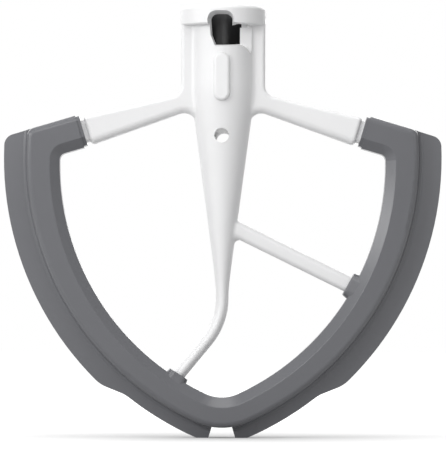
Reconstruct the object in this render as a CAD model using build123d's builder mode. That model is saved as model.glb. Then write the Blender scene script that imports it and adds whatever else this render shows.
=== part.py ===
from build123d import *
import os
from math import cos, hypot, radians, sin, sqrt, tan

# Flat beater for a tilt-head stand mixer. Millimetres, +Z up along the drive shaft.
# The origin is on the axis of the drive socket, at its mouth on top of the hub.
# The beater hangs below it in the XZ plane, and its bayonet window faces -Y.

# Collar and hub
collar_radius = 12.9
collar_height = 5.6
collar_top_round = 1.0
collar_foot_round = 0.5
hub_radius = 9.6

# Drive socket for a half-inch shaft
shaft_radius = 6.35
shaft_clearance = 0.10
bore_depth = 33.0
bore_end_angle = 118.0
bore_mouth_chamfer = 0.5

# Bayonet window, cast from the front with draft on its walls
window_clock = -3.0
window_floor = 3.9
window_draft = 7.5
window_foot = 11.3
window_heel_height = 2.6
window_heel_run = 1.1
window_left = 3.2
notch_depth = 2.8
notch_width = 5.9
notch_round = 1.5
ledge_depth = 6.3
pocket_reach = 9.4
pocket_toe_depth = 2.7
pocket_toe_width = 2.2
pocket_toe_shoulder = 1.0
pocket_ramp = 4.2

# Groove that lets the cross pin of the shaft down to the window
pin_groove_width = 4.4
pin_groove_reach = 10.6
pin_groove_depth = 6.4
pin_groove_angle = 37.0

# Raised rib on the front of the hub
rib_clock = -2.5
rib_top = 14.0
rib_foot = 28.6
rib_width = 5.0
rib_height = 1.1
rib_round = 1.0
rib_seat = 1.5

# Web plate: the flanges beside the hub and the two arms that run out of them
flange_reach = 12.7
web_root_half = 3.1
web_thickening = 0.046
upper_round = 1.1
underside_round = 2.2
hub_blend = 1.4
arm_slope = 16.5
arm_root_depth = 25.5
arm_root_half = 2.03
arm_flare = 0.0545
arm_length = 42.6
arm_end_round = 0.9
flange_fillet = 3.4
armpit_fillet = 3.8
gusset_side = 9.3
gusset_start = 30.0
gusset_foot_side = 5.6
gusset_foot_depth = 44.0

# Stem, a straight taper that eases in and out, and the vent hole through it
hub_foot = 24.0
stem_start = 22.0
stem_end = 88.0
taper_start = 26.2
taper_end = 84.5
taper_ease = 3.0
stem_steps = 9
vent_depth = 39.5
vent_radius = 2.2
vent_tilt = 4.0
vent_reach = 14.0

# Tail that curves out of the foot of the stem
tail_half_width = 1.9
tail_half_depth = 3.0
tail_bend_radius = 20.0
tail_lean = 39.4

# Cross bar from the stem to the right side of the rim
bar_root_depth = 65.1
bar_slope = 26.0
bar_width = 4.8
bar_thickness = 5.6
bar_edge_round = 1.6
bar_root_fillet = 1.5

# Bead of the flexible edge: arcs about a point beyond the socket's axis
rim_centre_x = -28.4
rim_centre_z = -45.6
bead_radius = 87.6
bead_thickness = 12.6
inner_radius = 76.6
inner_shift_x = 0.95
inner_shift_z = -1.75
bead_arm_width = 10.0
bead_arm_rise = 0.4
bead_arm_face = 44.9
bead_corner_round = 2.5
elbow_round = 2.0
inner_vee_round = 11.5
outer_vee_round = 20.0
bead_edge_round = 1.7
bevel_width = 3.0
bevel_depth = 2.3

# Scraper fins along the outside of the bead
fin_width = 6.9
fin_low_width = 4.2
fin_seat = 3.0
fin_root_half = 1.7
fin_edge_half = 0.6
fin_root_flare = 1.5
fin_shoulder_round = 3.4
fin_step_angle = 46.4
fin_step_span = 4.8
fin_step_round = 10.0
tip_depth = 130.0
tip_notch_half = 4.05
tip_notch_lean = 20.0

# Rim of the casting inside the bead, and the seals where the casting comes out
cover = 2.2
rim_half_thickness = 3.7
rim_corner_round = 0.5
root_grip = 1.5
lip_length = 1.1
lip_inset = 0.45
bar_seal_stand = 1.9
tail_seal_stand = 1.4
seal_wall = 1.3
seal_corner_round = 2.0
seal_edge_round = 0.5
seal_draft = 12.0
seal_seat = 3.5
bevel_edge_round = 0.5

os.makedirs("parts", exist_ok=True)
hair = 0.001
bore_radius = shaft_radius + shaft_clearance
fin_radius = bead_radius + fin_width
fin_low_radius = bead_radius + fin_low_width
rim_centre = (rim_centre_x, rim_centre_z)
inner_centre = (rim_centre_x + inner_shift_x, rim_centre_z + inner_shift_z)


def arm_point(along, across):
    """Point in the web's plane, along the right arm and above its axis."""
    a = radians(arm_slope)
    return (along * cos(a) + across * sin(a), -arm_root_depth - along * sin(a) + across * cos(a))


def arm_half(along):
    """Half height of the arm at a distance along it."""
    return arm_root_half + arm_flare * along


def above_arm(point):
    """Height of a point above the right arm's axis, also for its mirror image."""
    return point.Z + arm_root_depth + abs(point.X) * tan(radians(arm_slope))


def run_to_arc(start, slope, radius, centre):
    """Length of a line that falls at a slope from a point until it meets an arc of the rim."""
    dx, dz = start[0] - centre[0], start[1] - centre[1]
    half = dx * cos(radians(slope)) - dz * sin(radians(slope))
    return -half + sqrt(half**2 - dx**2 - dz**2 + radius**2)


def on_arc(radius, angle, centre):
    """Point of an arc at an angle below the horizontal through its centre."""
    return (centre[0] + radius * cos(radians(angle)), centre[1] - radius * sin(radians(angle)))


def foot_of_arc(radius, centre):
    """Point where an arc of the rim meets the middle of the beater."""
    return (0, centre[1] - sqrt(radius**2 - centre[0] ** 2))


def crossing(start, finish, other_start, other_finish):
    """Point where two lines of the web's plane cross."""
    dx, dz = finish[0] - start[0], finish[1] - start[1]
    ex, ez = other_finish[0] - other_start[0], other_finish[1] - other_start[1]
    gap_x, gap_z = other_start[0] - start[0], other_start[1] - start[1]
    t = (gap_x * ez - gap_z * ex) / (dx * ez - dz * ex)
    return (start[0] + t * dx, start[1] + t * dz)


def near(*points):
    """Selector for the sketch corners that lie on the given points or their mirror images."""
    return lambda v: any(abs(abs(v.X) - x) + abs(v.Y - z) < hair for x, z in points)


def front_plane(clock, offset=0.0, depth=0.0, tilt=0.0):
    """Upright plane on the front of the hub, turned about the axis and tipped."""
    c, t = radians(clock), radians(tilt)
    normal = (sin(c) * cos(t), -cos(c) * cos(t), sin(t))
    return Plane(origin=(0, 0, -depth), x_dir=(cos(c), sin(c), 0), z_dir=normal).offset(offset)


def ease(depth):
    """Straight run from 0 to 1 between the taper's ends, eased at both."""
    return hypot(depth - taper_start, taper_ease) - hypot(depth - taper_end, taper_ease)


def stem_half(depth, foot_half):
    """Half size of the stem's oval section at a depth."""
    share = (ease(depth) - ease(stem_start)) / (ease(stem_end) - ease(stem_start))
    return hub_radius + (foot_half - hub_radius) * share


def band_sketch(inset):
    """Closed outline of the bead, or of the metal rim that lies an inset inside it."""
    outer_r = bead_radius - inset
    inner_r = inner_radius + inset
    top = bead_arm_rise + bead_arm_width / 2 - inset
    low = bead_arm_rise - bead_arm_width / 2 + inset
    corner = arm_point(run_to_arc(arm_point(0, top), arm_slope, outer_r, rim_centre), top)
    elbow = arm_point(run_to_arc(arm_point(0, low), arm_slope, inner_r, inner_centre), low)
    outer_low = foot_of_arc(outer_r, rim_centre)
    inner_low = foot_of_arc(inner_r, inner_centre)
    with BuildSketch(Plane.XZ) as band:
        with BuildLine():
            Line(arm_point(bead_arm_face + inset, top), corner)
            RadiusArc(corner, outer_low, outer_r)
            Line(outer_low, inner_low)
            RadiusArc(inner_low, elbow, -inner_r)
            Line(elbow, arm_point(bead_arm_face + inset, low))
            Line(arm_point(bead_arm_face + inset, low), arm_point(bead_arm_face + inset, top))
        make_face()
        mirror(about=Plane.YZ)
        fillet(band.vertices().filter_by(near(corner)), max(bead_corner_round - inset, rim_corner_round))
        fillet(band.vertices().filter_by(near(elbow)), elbow_round + inset)
        fillet(band.vertices().filter_by(near(outer_low)), outer_vee_round - inset)
        fillet(band.vertices().filter_by(near(inner_low)), inner_vee_round + inset)
    return band


def on_side(edge):
    """Whether an edge of the web plate borders its front or its back."""
    return abs(edge.center().Y) > web_root_half / 2 and edge.center().X > hair


# Web plate, right half: flange, arm, and the gusset that dies out inside the stem
arm_end_top = arm_point(arm_length, arm_half(arm_length))
arm_end_low = arm_point(arm_length, -arm_half(arm_length))
flange_foot = (flange_reach, -hub_foot)
flange_corner = crossing(arm_point(0, arm_half(0)), arm_end_top, (flange_reach, 0), flange_foot)
gusset_top = (gusset_side, -gusset_start)
gusset_foot = (gusset_foot_side, -gusset_foot_depth)
armpit = crossing(arm_point(0, -arm_half(0)), arm_end_low, gusset_top, gusset_foot)
web_top = -collar_height / 2
web_end_half = web_root_half + web_thickening * arm_length
with BuildPart() as web:
    with BuildSketch(Plane.XZ) as web_outline:
        with BuildLine():
            Polyline(
                (0, web_top),
                (flange_reach, web_top),
                flange_corner,
                arm_end_top,
                arm_end_low,
                armpit,
                gusset_foot,
                (0, gusset_foot[1]),
                close=True,
            )
        make_face()
        fillet(web_outline.vertices().filter_by(near(flange_corner)), flange_fillet)
        fillet(web_outline.vertices().filter_by(near(armpit)), armpit_fillet)
    extrude(amount=collar_radius, both=True)
    with BuildSketch(Plane.XY.offset(-gusset_foot_depth)):
        Polygon(
            (0, -web_root_half),
            (arm_length, -web_end_half),
            (arm_length, web_end_half),
            (0, web_root_half),
            align=None,
        )
    extrude(amount=gusset_foot_depth, mode=Mode.INTERSECT)
    lower_edges = web.edges().filter_by(lambda e: on_side(e) and above_arm(e.center()) < -arm_root_half / 2)
    fillet(lower_edges.filter_by(lambda e: e.center().Z > gusset_foot[1] + hair), underside_round)
    upper_edges = web.edges().filter_by(lambda e: on_side(e) and above_arm(e.center()) > arm_root_half / 2)
    fillet(upper_edges.filter_by(lambda e: e.center().Z < web_top - hair), upper_round)
    # Neck at each arm's end, a little smaller than the arm, that runs on into the bead
    along_arm = Axis((0, 0, 0), (cos(radians(arm_slope)), 0, -sin(radians(arm_slope))))
    fillet(web.faces().sort_by(along_arm)[-1].edges(), arm_end_round)
    neck_length = bead_arm_face + cover + root_grip - arm_length
    extrude(web.faces().sort_by(along_arm)[-1], amount=neck_length)
    mirror(about=Plane.YZ)

# Where the tail and the cross bar run into the rim, and the window that is cut from the front
tail_start = (
    -tail_bend_radius * (1 - cos(radians(tail_lean))),
    -stem_end - tail_bend_radius * sin(radians(tail_lean)),
)
core_radius = inner_radius + cover + root_grip
tail_run = run_to_arc((-tail_start[0], tail_start[1]), 90 - tail_lean, core_radius, inner_centre)
bar_run = run_to_arc((0, -bar_root_depth), bar_slope, core_radius, inner_centre)
window_right = notch_width - window_left
toe = pocket_reach - pocket_toe_width / 2


def on_seam(edge):
    """Whether an edge is where the web plate meets the hub or the stem, under the collar."""
    box = edge.bounding_box()
    beside = abs(edge.center().Y) > web_root_half / 2 and tail_half_depth < abs(edge.center().X) < hub_radius
    return beside and box.max.Z < -collar_height + collar_foot_round and box.min.Z > gusset_foot[1] + hair


def at_bar_root(edge):
    """Whether an edge is where the cross bar runs into the stem."""
    root = tail_half_width < edge.center().X and edge.bounding_box().max.X < hub_radius
    return root and abs(edge.center().Z + bar_root_depth) < 2 * bar_width


# One-piece casting: hub, stem, tail, cross bar, web and the rim hidden in the bead
with BuildPart() as beater_casting:
    add(web.part)
    with BuildSketch(Plane.XY.offset(-hub_foot)):
        Circle(hub_radius)
    extrude(amount=hub_foot - collar_height / 2)
    for step in range(stem_steps + 1):
        depth = stem_start + (stem_end - stem_start) * step / stem_steps
        with BuildSketch(Plane.XY.offset(-depth)):
            Ellipse(stem_half(depth, tail_half_width), stem_half(depth, tail_half_depth))
    loft()
    # Blend where the web plate meets the hub and the stem
    fillet(beater_casting.edges().filter_by(on_seam), hub_blend)
    # Tail
    with BuildLine(Plane.XZ) as tail_path:
        bend = JernArc((0, -stem_end), (0, -1), tail_bend_radius, -tail_lean)
        Line(bend @ 1, (bend @ 1) + (bend % 1) * tail_run)
    with BuildSketch(Plane.XY.offset(-stem_end)):
        Ellipse(tail_half_width, tail_half_depth)
    sweep(path=tail_path.line)
    # Cross bar
    bar_axis = (cos(radians(bar_slope)), 0, -sin(radians(bar_slope)))
    with BuildSketch(Plane(origin=(0, 0, -bar_root_depth), x_dir=(0, 1, 0), z_dir=bar_axis)):
        RectangleRounded(bar_thickness, bar_width, bar_edge_round)
    extrude(amount=bar_run)
    fillet(beater_casting.edges().filter_by(at_bar_root), bar_root_fillet)
    # Rim that the flexible edge is moulded over
    extrude(band_sketch(cover).sketch, amount=rim_half_thickness, both=True)
    # Collar
    with BuildSketch(Plane.XZ) as collar_outline:
        Rectangle(collar_radius, collar_height, align=(Align.MIN, Align.MAX))
        fillet(collar_outline.vertices().filter_by(near((collar_radius, 0))), collar_top_round)
        fillet(collar_outline.vertices().filter_by(near((collar_radius, -collar_height))), collar_foot_round)
    revolve(axis=Axis.Z)
    # Rib
    with BuildSketch(front_plane(rib_clock, hub_radius + rib_height, (rib_top + rib_foot) / 2)):
        SlotOverall(rib_foot - rib_top, rib_width, rotation=90)
    extrude(amount=-(rib_height + rib_seat))
    rib_middle = front_plane(rib_clock, hub_radius + rib_height, (rib_top + rib_foot) / 2).origin
    rib_face = beater_casting.faces().sort_by(lambda f: (f.center() - rib_middle).length)[0]
    fillet(rib_face.edges(), rib_round)
    # Blind bore
    with BuildSketch(Plane.XZ):
        Polygon(
            (0, 0),
            (bore_radius + bore_mouth_chamfer, 0),
            (bore_radius, -bore_mouth_chamfer),
            (bore_radius, -bore_depth),
            (0, -bore_depth - bore_radius / tan(radians(bore_end_angle / 2))),
            align=None,
        )
    revolve(axis=Axis.Z, mode=Mode.SUBTRACT)
    # Bayonet window: notch above the ledge, slot below it, and the pocket to its right
    with BuildSketch(front_plane(window_clock, window_floor)) as window:
        with BuildLine():
            Polyline(
                (-window_left, -notch_depth),
                (window_right, -notch_depth),
                (window_right, -ledge_depth),
                (pocket_reach, -ledge_depth),
                (pocket_reach, -window_foot - pocket_toe_shoulder),
                (toe, -window_foot - pocket_toe_depth),
                (toe - pocket_toe_width / 2, -window_foot - pocket_toe_shoulder),
                (pocket_reach - pocket_ramp, -window_foot),
                (window_heel_run - window_right, -window_foot),
                (-window_right, -window_foot + window_heel_height),
                close=True,
            )
        make_face()
        notch_corners = near((window_left, -notch_depth), (window_right, -notch_depth))
        fillet(window.vertices().filter_by(notch_corners), notch_round)
    extrude(amount=collar_radius, taper=-window_draft, mode=Mode.SUBTRACT)
    with BuildSketch(Plane.XY):
        Rectangle(
            pin_groove_reach,
            pin_groove_width,
            rotation=pin_groove_angle - 90,
            align=(Align.MIN, Align.CENTER),
        )
    extrude(amount=-pin_groove_depth, mode=Mode.SUBTRACT)
    # Vent hole
    with BuildSketch(front_plane(window_clock, 0, vent_depth, vent_tilt)):
        Circle(vent_radius)
    extrude(amount=vent_reach, both=True, mode=Mode.SUBTRACT)

# Scraper fins: a tapering ring sector trimmed to the fin's outline
fin_top = bead_arm_rise + bead_arm_width / 2
seat_radius = bead_radius - fin_seat
fin_top_start = arm_point(run_to_arc(arm_point(0, fin_top), arm_slope, seat_radius, rim_centre), fin_top)
shoulder = arm_point(run_to_arc(arm_point(0, fin_top), arm_slope, fin_radius, rim_centre), fin_top)
step_top = on_arc(fin_radius, fin_step_angle, rim_centre)
step_foot = on_arc(fin_low_radius, fin_step_angle + fin_step_span, rim_centre)
tip_x = rim_centre_x + sqrt(fin_low_radius**2 - (tip_depth + rim_centre_z) ** 2)
seat_foot_z = foot_of_arc(seat_radius, rim_centre)[1]
notch_top_x = tip_notch_half - (tip_depth + seat_foot_z) * tan(radians(tip_notch_lean))
fin_seat_foot = (notch_top_x, rim_centre_z - sqrt(seat_radius**2 - (notch_top_x - rim_centre_x) ** 2))
with BuildPart() as fins:
    with BuildSketch(Plane.XY.offset(rim_centre_z)):
        with BuildLine():
            flare_side = fin_root_half + fin_root_flare
            flare_centre = (bead_radius + fin_root_flare + rim_centre_x, flare_side)
            flare = CenterArc(flare_centre, fin_root_flare, 180, 90)
            Polyline(
                flare @ 1,
                (fin_radius + rim_centre_x, fin_edge_half),
                (fin_radius + rim_centre_x, 0),
                (seat_radius + rim_centre_x, 0),
                (seat_radius + rim_centre_x, flare_side),
                flare @ 0,
            )
        make_face()
        mirror(about=Plane.XZ)
    revolve(axis=Axis((rim_centre_x, 0, rim_centre_z), (0, 1, 0)))
    with BuildSketch(Plane.XZ) as fin_outline:
        with BuildLine():
            Line(fin_top_start, shoulder)
            RadiusArc(shoulder, step_top, fin_radius)
            Line(step_top, step_foot)
            RadiusArc(step_foot, (tip_x, -tip_depth), fin_low_radius)
            Line((tip_x, -tip_depth), (tip_notch_half, -tip_depth))
            Line((tip_notch_half, -tip_depth), fin_seat_foot)
            RadiusArc(fin_seat_foot, fin_top_start, -seat_radius)
        make_face()
        fillet(fin_outline.vertices().filter_by(near(shoulder)), fin_shoulder_round)
        fillet(fin_outline.vertices().filter_by(near(step_top)), fin_step_round)
        fillet(fin_outline.vertices().filter_by(near(step_foot)), fin_step_round)
    extrude(amount=bead_thickness / 2, both=True, mode=Mode.INTERSECT)
    mirror(about=Plane.YZ)


def beyond_face(edge):
    """Whether an edge lies away from the bead's end faces on the arms."""
    p = edge @ 0.5
    run = abs(p.X) * cos(radians(arm_slope)) - (p.Z + arm_root_depth) * sin(radians(arm_slope))
    return run > bead_arm_face + hair


def on_flat(edge):
    """Whether an edge borders the bead's front or back face, away from the arms' ends."""
    return abs(edge.center().Y) > bead_thickness / 2 - hair and beyond_face(edge)


def on_inside(edge):
    """Whether an edge runs along the side of the bead that faces the stem."""
    p = edge @ 0.5
    radius = hypot(abs(p.X) - rim_centre_x, p.Z - rim_centre_z)
    return above_arm(p) < bead_arm_rise and radius < (bead_radius + inner_radius) / 2


def inner_face(start, slope, side, stand):
    """Plane over the bead's inner face, where a line that falls at a slope runs into it."""
    run = run_to_arc(start, slope, inner_radius, inner_centre)
    x = start[0] + run * cos(radians(slope))
    z = start[1] - run * sin(radians(slope))
    inward = (side * (inner_centre[0] - x), 0, inner_centre[1] - z)
    return Plane(origin=(side * x, 0, z), x_dir=(0, 1, 0), z_dir=inward).offset(stand)


# Seals: drafted bosses that stand out of the bead around the cross bar and the tail
with BuildPart() as seals:
    with BuildSketch(inner_face((0, -bar_root_depth), bar_slope, 1, bar_seal_stand)):
        RectangleRounded(bar_thickness + 2 * seal_wall, bar_width + 2 * seal_wall, seal_corner_round)
    extrude(amount=-(bar_seal_stand + seal_seat), taper=-seal_draft)
    with BuildSketch(inner_face((-tail_start[0], tail_start[1]), 90 - tail_lean, -1, tail_seal_stand)):
        RectangleRounded(
            2 * (tail_half_depth + seal_wall),
            2 * (tail_half_width + seal_wall),
            seal_corner_round,
        )
    extrude(amount=-(tail_seal_stand + seal_seat), taper=-seal_draft)
    for seal in seals.solids():
        fillet(seal.faces().filter_by(GeomType.PLANE).sort_by(Axis.Z)[-1].edges(), seal_edge_round)

# Flexible edge: bead, fins, lips and seals in one moulding around the casting
with BuildPart() as flex_edge:
    extrude(band_sketch(0).sketch, amount=bead_thickness / 2, both=True)
    fillet(flex_edge.edges().filter_by(lambda e: on_flat(e) and not on_inside(e)), bead_edge_round)
    for side in (0, -1):
        flat = flex_edge.faces().filter_by(Axis.Y).sort_by(Axis.Y)[side]
        inner_edges = flat.edges().filter_by(lambda e: on_flat(e) and on_inside(e))
        chamfer(inner_edges, bevel_width, bevel_depth, reference=flat)
    fillet(flex_edge.edges().filter_by(lambda e: on_flat(e) and on_inside(e)), bevel_edge_round)
    # Lip on each end face, seen as a thin ring beside the arm
    for side in (1, -1):
        outward = Axis((0, 0, 0), (side * cos(radians(arm_slope)), 0, -sin(radians(arm_slope))))
        end_face = flex_edge.faces().filter_by(outward).sort_by(outward)[0]
        extrude(offset(end_face, amount=-lip_inset, mode=Mode.PRIVATE), amount=lip_length)
    add(fins.part)
    add(seals.part)
    add(beater_casting.part, mode=Mode.SUBTRACT)

beater_casting.part.label = "beater_casting"
flex_edge.part.label = "flex_edge"
export_step(beater_casting.part, "parts/beater_casting.step")
export_step(flex_edge.part, "parts/flex_edge.step")
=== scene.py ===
import math

import bpy
import mathutils
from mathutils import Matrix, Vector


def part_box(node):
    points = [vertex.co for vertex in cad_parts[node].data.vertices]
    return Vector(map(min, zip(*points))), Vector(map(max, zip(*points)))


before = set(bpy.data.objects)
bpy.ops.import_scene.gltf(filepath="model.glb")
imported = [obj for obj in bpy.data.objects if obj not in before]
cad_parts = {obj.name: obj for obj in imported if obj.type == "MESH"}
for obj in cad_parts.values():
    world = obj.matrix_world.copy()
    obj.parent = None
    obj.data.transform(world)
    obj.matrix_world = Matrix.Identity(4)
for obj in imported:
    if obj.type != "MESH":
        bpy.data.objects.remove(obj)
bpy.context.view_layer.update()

# The casting: hub, tapered stem, tail, cross bar and arms, poured in one piece in aluminium.
# It is blasted, then dipped in a thick white coating that softens every edge.
# Inside the drive socket the metal is left bare, and its near-black colour is painted shade,
# since little light gets into the socket.
coat_white = (0.83, 0.83, 0.835, 1.0)
coat_dull_white = (0.79, 0.79, 0.795, 1.0)
coat_ior = 1.48
coat_roughness = 0.42
coat_drift_scale = 45.0
coat_grain_scale = 350.0
coat_grain_amount = 1.0
coat_bump_strength = 0.25
coat_bump_depth = 0.00012
# Near black: painted shade inside the bare socket.
bare_metal_painted_shade = (0.02, 0.02, 0.021, 1.0)
bare_roughness = 0.30
socket_radius = 0.00655
socket_foot = -0.0378
drift_detail = 3.0
grain_detail = 2.0
# A Mix node's colour sockets bear the same names as its number sockets, so they go by number.
colour_a = 6
colour_b = 7
mixed_colour = 2


def fill_sockets(tree, step, terms):
    """Gives a node's inputs their terms in turn: an output is linked, and a value is set."""
    for socket, term in zip(step.inputs, terms):
        if isinstance(term, bpy.types.NodeSocket):
            tree.links.new(term, socket)
        else:
            socket.default_value = term


def add_math(tree, operation, *terms):
    """Math node between values or outputs: returns its result."""
    step = tree.nodes.new("ShaderNodeMath")
    step.operation = operation
    fill_sockets(tree, step, terms)
    return step.outputs["Value"]


def add_axis_distance(tree, place):
    """Distance from the upright axis on which the beater turns, with the height left out."""
    no_height = (1.0, 1.0, 0.0)
    level = tree.nodes.new("ShaderNodeVectorMath")
    level.operation = "MULTIPLY"
    fill_sockets(tree, level, (place, no_height))
    distance = tree.nodes.new("ShaderNodeVectorMath")
    distance.operation = "LENGTH"
    fill_sockets(tree, distance, (level.outputs["Vector"],))
    return distance.outputs["Value"]


def start_group(name, inputs, output, output_kind):
    """New node group with named sockets: returns it, what enters it and what it puts out."""
    group = bpy.data.node_groups.new(name, "ShaderNodeTree")
    for socket, kind in inputs.items():
        group.interface.new_socket(socket, in_out="INPUT", socket_type=kind)
    group.interface.new_socket(output, in_out="OUTPUT", socket_type=output_kind)
    entry = group.nodes.new("NodeGroupInput")
    leave = group.nodes.new("NodeGroupOutput")
    return group, entry.outputs, leave.inputs


def make_tone_group():
    """Node group: a slow drift between two colours, as in any coating or moulding."""
    sockets = {
        "Vector": "NodeSocketVector",
        "Colour": "NodeSocketColor",
        "Other Colour": "NodeSocketColor",
        "Scale": "NodeSocketFloat",
    }
    tone, entry, leave = start_group("slow_tone", sockets, "Colour", "NodeSocketColor")
    cloud = tone.nodes.new("ShaderNodeTexNoise")
    cloud.inputs["Detail"].default_value = drift_detail
    blend = tone.nodes.new("ShaderNodeMix")
    blend.data_type = "RGBA"
    tone.links.new(entry["Vector"], cloud.inputs["Vector"])
    tone.links.new(entry["Scale"], cloud.inputs["Scale"])
    tone.links.new(cloud.outputs["Fac"], blend.inputs["Factor"])
    tone.links.new(entry["Colour"], blend.inputs[colour_a])
    tone.links.new(entry["Other Colour"], blend.inputs[colour_b])
    tone.links.new(blend.outputs[mixed_colour], leave["Colour"])
    return tone


def make_ripple_group():
    """Node group: a fine uneven height, with a size and an amount."""
    sockets = {
        "Vector": "NodeSocketVector",
        "Scale": "NodeSocketFloat",
        "Amount": "NodeSocketFloat",
    }
    ripple, entry, leave = start_group("fine_ripple", sockets, "Height", "NodeSocketFloat")
    grain = ripple.nodes.new("ShaderNodeTexNoise")
    grain.inputs["Detail"].default_value = grain_detail
    ripple.links.new(entry["Vector"], grain.inputs["Vector"])
    ripple.links.new(entry["Scale"], grain.inputs["Scale"])
    height = add_math(ripple, "MULTIPLY", grain.outputs["Fac"], entry["Amount"])
    ripple.links.new(height, leave["Height"])
    return ripple


def start_finish(name, ior):
    """New material: returns it with its node tree, its shader and its Object coordinates."""
    finish = bpy.data.materials.new(name)
    finish.use_nodes = True
    tree = finish.node_tree
    surface = tree.nodes["Principled BSDF"]
    surface.inputs["IOR"].default_value = ior
    place = tree.nodes.new("ShaderNodeTexCoord").outputs["Object"]
    return finish, tree, surface, place


def add_group(tree, group, *terms):
    """A node group placed in a material with its own values: returns its output."""
    step = tree.nodes.new("ShaderNodeGroup")
    step.node_tree = group
    fill_sockets(tree, step, terms)
    return step.outputs[0]


def add_bump(tree, surface, height, strength, depth):
    """Raises a shader's surface by a height."""
    bump = tree.nodes.new("ShaderNodeBump")
    bump.inputs["Strength"].default_value = strength
    bump.inputs["Distance"].default_value = depth
    tree.links.new(height, bump.inputs["Height"])
    tree.links.new(bump.outputs["Normal"], surface.inputs["Normal"])


def cover(piece, finish):
    """Gives a piece one finish all over."""
    piece.data.materials.clear()
    piece.data.materials.append(finish)


slow_tone = make_tone_group()
fine_ripple = make_ripple_group()

coating, tree, surface, place = start_finish("white_coating", coat_ior)
white = add_group(tree, slow_tone, place, coat_white, coat_dull_white, coat_drift_scale)
split = tree.nodes.new("ShaderNodeSeparateXYZ")
tree.links.new(place, split.inputs["Vector"])
inside = add_math(tree, "LESS_THAN", add_axis_distance(tree, place), socket_radius)
above = add_math(tree, "GREATER_THAN", split.outputs["Z"], socket_foot)
bare_shaded_socket = add_math(tree, "MULTIPLY", inside, above)
# The socket's near-black colour is painted shade; its glossier bare metal is real.
colour = tree.nodes.new("ShaderNodeMix")
colour.data_type = "RGBA"
tree.links.new(bare_shaded_socket, colour.inputs["Factor"])
tree.links.new(white, colour.inputs[colour_a])
colour.inputs[colour_b].default_value = bare_metal_painted_shade
tree.links.new(colour.outputs[mixed_colour], surface.inputs["Base Color"])
gloss = tree.nodes.new("ShaderNodeMapRange")
gloss.inputs["To Min"].default_value = coat_roughness
gloss.inputs["To Max"].default_value = bare_roughness
tree.links.new(bare_shaded_socket, gloss.inputs["Value"])
tree.links.new(gloss.outputs["Result"], surface.inputs["Roughness"])
grain = add_group(tree, fine_ripple, place, coat_grain_scale, coat_grain_amount)
add_bump(tree, surface, grain, coat_bump_strength, coat_bump_depth)
cover(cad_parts["beater_casting"], coating)

# The flexible edge: grey silicone moulded over the casting's rim in one shot.
# Its bead wraps the metal, and two thin fins wipe the bowl. The mould leaves a satin skin
# and a faint parting line all along the middle.
silicone_grey = (0.134, 0.136, 0.147, 1.0)
silicone_dull = (0.124, 0.126, 0.136, 1.0)
silicone_ior = 1.45
silicone_roughness = 0.28
silicone_drift_scale = 60.0
silicone_grain_scale = 900.0
silicone_grain_amount = 0.6
silicone_bump_strength = 0.3
silicone_bump_depth = 0.00008
parting_half_width = 0.00012

silicone, tree, surface, place = start_finish("grey_silicone", silicone_ior)
surface.inputs["Roughness"].default_value = silicone_roughness
grey = add_group(tree, slow_tone, place, silicone_grey, silicone_dull, silicone_drift_scale)
tree.links.new(grey, surface.inputs["Base Color"])
split = tree.nodes.new("ShaderNodeSeparateXYZ")
tree.links.new(place, split.inputs["Vector"])
parting = tree.nodes.new("ShaderNodeMapRange")
parting.interpolation_type = "SMOOTHSTEP"
parting.inputs["From Max"].default_value = parting_half_width
parting.inputs["To Min"].default_value = 1.0
parting.inputs["To Max"].default_value = 0.0
tree.links.new(add_math(tree, "ABSOLUTE", split.outputs["Y"]), parting.inputs["Value"])
grain = add_group(tree, fine_ripple, place, silicone_grain_scale, silicone_grain_amount)
relief = add_math(tree, "ADD", grain, parting.outputs["Result"])
add_bump(tree, surface, relief, silicone_bump_strength, silicone_bump_depth)
cover(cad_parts["flex_edge"], silicone)

# The table: a pale plain board on which the beater stands on the tips of its fins.
# Where it is seen, straight or in a reflection, it glows white, less so within the glow's reach
# of the tips, where the beater's soft shadow still shows: the glow's dimming there is painted
# shadow, laid over the real shadow.
table_size = 6.0
table_white = (0.5, 0.5, 0.5, 1.0)
table_roughness = 0.6
table_specular = 0.0
# How far from the tips the painted shadow in the glow reaches.
painted_shadow_reach = 0.24


def add_seen(tree):
    """1 for what is seen straight, through glass or in a reflection, and 0 for stray light."""
    rays = tree.nodes.new("ShaderNodeLightPath").outputs
    direct = add_math(tree, "MAXIMUM", rays["Is Camera Ray"], rays["Is Transmission Ray"])
    return add_math(tree, "MAXIMUM", direct, rays["Is Glossy Ray"])


tip_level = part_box("flex_edge")[0][2]
bpy.ops.mesh.primitive_plane_add(size=table_size, location=(0.0, 0.0, tip_level))
table = bpy.context.object
table.name = "table"
table_paint = bpy.data.materials.new("table_paint")
table_paint.use_nodes = True
tree = table_paint.node_tree
surface = tree.nodes["Principled BSDF"]
surface.inputs["Base Color"].default_value = table_white
surface.inputs["Roughness"].default_value = table_roughness
surface.inputs["Specular IOR Level"].default_value = table_specular
place = tree.nodes.new("ShaderNodeTexCoord").outputs["Object"]
# The glow fades towards the tips: painted shadow around the beater's feet.
share = add_math(tree, "DIVIDE", add_axis_distance(tree, place), painted_shadow_reach)
share.node.use_clamp = True
strength = add_math(tree, "MULTIPLY", add_seen(tree), add_math(tree, "SQRT", share))
glow = tree.nodes.new("ShaderNodeEmission")
tree.links.new(strength, glow.inputs["Strength"])
both = tree.nodes.new("ShaderNodeAddShader")
tree.links.new(surface.outputs["BSDF"], both.inputs[0])
tree.links.new(glow.outputs["Emission"], both.inputs[1])
tree.links.new(both.outputs["Shader"], tree.nodes["Material Output"].inputs["Surface"])
cover(table, table_paint)

# The studio: a white room, at full strength only where it is seen, straight or in a reflection,
# so that it doesn't wash the beater out.
room_white = (1.0, 1.0, 1.0, 1.0)
room_strength = 0.13
backdrop_strength = 1.0

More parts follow.
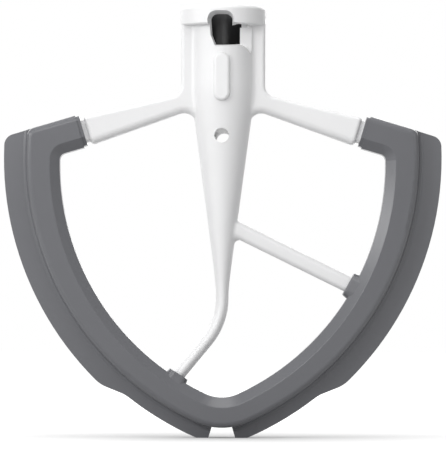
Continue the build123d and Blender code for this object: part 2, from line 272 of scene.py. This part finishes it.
world = bpy.data.worlds.new("white_room")
bpy.context.scene.world = world
world.use_nodes = True
tree = world.node_tree
room = tree.nodes["Background"]
room.inputs["Color"].default_value = room_white
room.inputs["Strength"].default_value = room_strength
backdrop = tree.nodes.new("ShaderNodeBackground")
backdrop.inputs["Color"].default_value = room_white
backdrop.inputs["Strength"].default_value = backdrop_strength
mix = tree.nodes.new("ShaderNodeMixShader")
tree.links.new(add_seen(tree), mix.inputs[0])
tree.links.new(room.outputs["Background"], mix.inputs[1])
tree.links.new(backdrop.outputs["Background"], mix.inputs[2])
tree.links.new(mix.outputs["Shader"], tree.nodes["World Output"].inputs["Surface"])

# Softboxes: two overhead, one in front, three around the left side, a faint one at the right,
# and two behind that keep the back from going dark. All are turned to the beater's middle.
# Each line gives a softbox's name, where it stands, the length of its sides and its power.
beater_middle = mathutils.Vector((0.0, 0.0, -0.065))
softboxes = (
    ("overhead", (0.0, -0.05, 0.55), 0.4, 1.82),
    ("top_front", (0.0, -0.4, 0.45), 0.3, 0.57),
    ("front", (-0.1, -0.75, 0.25), 0.35, 1.32),
    ("left_front", (-0.4, -0.42, 0.1), 0.16, 0.87),
    ("left_high", (-0.35, -0.4, 0.4), 0.18, 0.5),
    ("left_side", (-0.6, -0.2, 0.1), 0.18, 0.84),
    ("right_fill", (0.45, -0.55, 0.1), 0.35, 0.52),
    ("back_left", (-0.4, 0.7, 0.3), 0.5, 2.0),
    ("back_right", (0.25, 0.8, 0.2), 0.4, 2.0),
)
for name, stand, side, power in softboxes:
    lamp = bpy.data.lights.new(name, "AREA")
    lamp.size = side
    lamp.energy = power
    light = bpy.data.objects.new(name, lamp)
    bpy.context.collection.objects.link(light)
    light.location = stand
    towards = beater_middle - mathutils.Vector(stand)
    light.rotation_euler = towards.to_track_quat("-Z", "Y").to_euler()

# The camera: a long lens low over the table, looking about a degree up at the beater
# and turned a trace about its own axis.
camera_distance = 1.45
camera_height = -0.092
camera_side = 0.00014
aim_height = -0.0658
view_width = 0.1347
roll = math.radians(0.22)
sensor_width = 36.0
clip_start = 0.05

lens = bpy.data.cameras.new("camera")
lens.sensor_fit = "HORIZONTAL"
lens.sensor_width = sensor_width
lens.lens = sensor_width * camera_distance / view_width
lens.clip_start = clip_start
camera = bpy.data.objects.new("camera", lens)
bpy.context.collection.objects.link(camera)
camera.location = (camera_side, -camera_distance, camera_height)
pitch = math.atan2(aim_height - camera_height, camera_distance)
upright = mathutils.Matrix.Rotation(math.radians(90.0) + pitch, 4, "X")
turn = upright @ mathutils.Matrix.Rotation(roll, 4, "Z")
camera.rotation_euler = turn.to_euler()
bpy.context.scene.camera = camera
bpy.context.scene.view_settings.view_transform = "Standard"
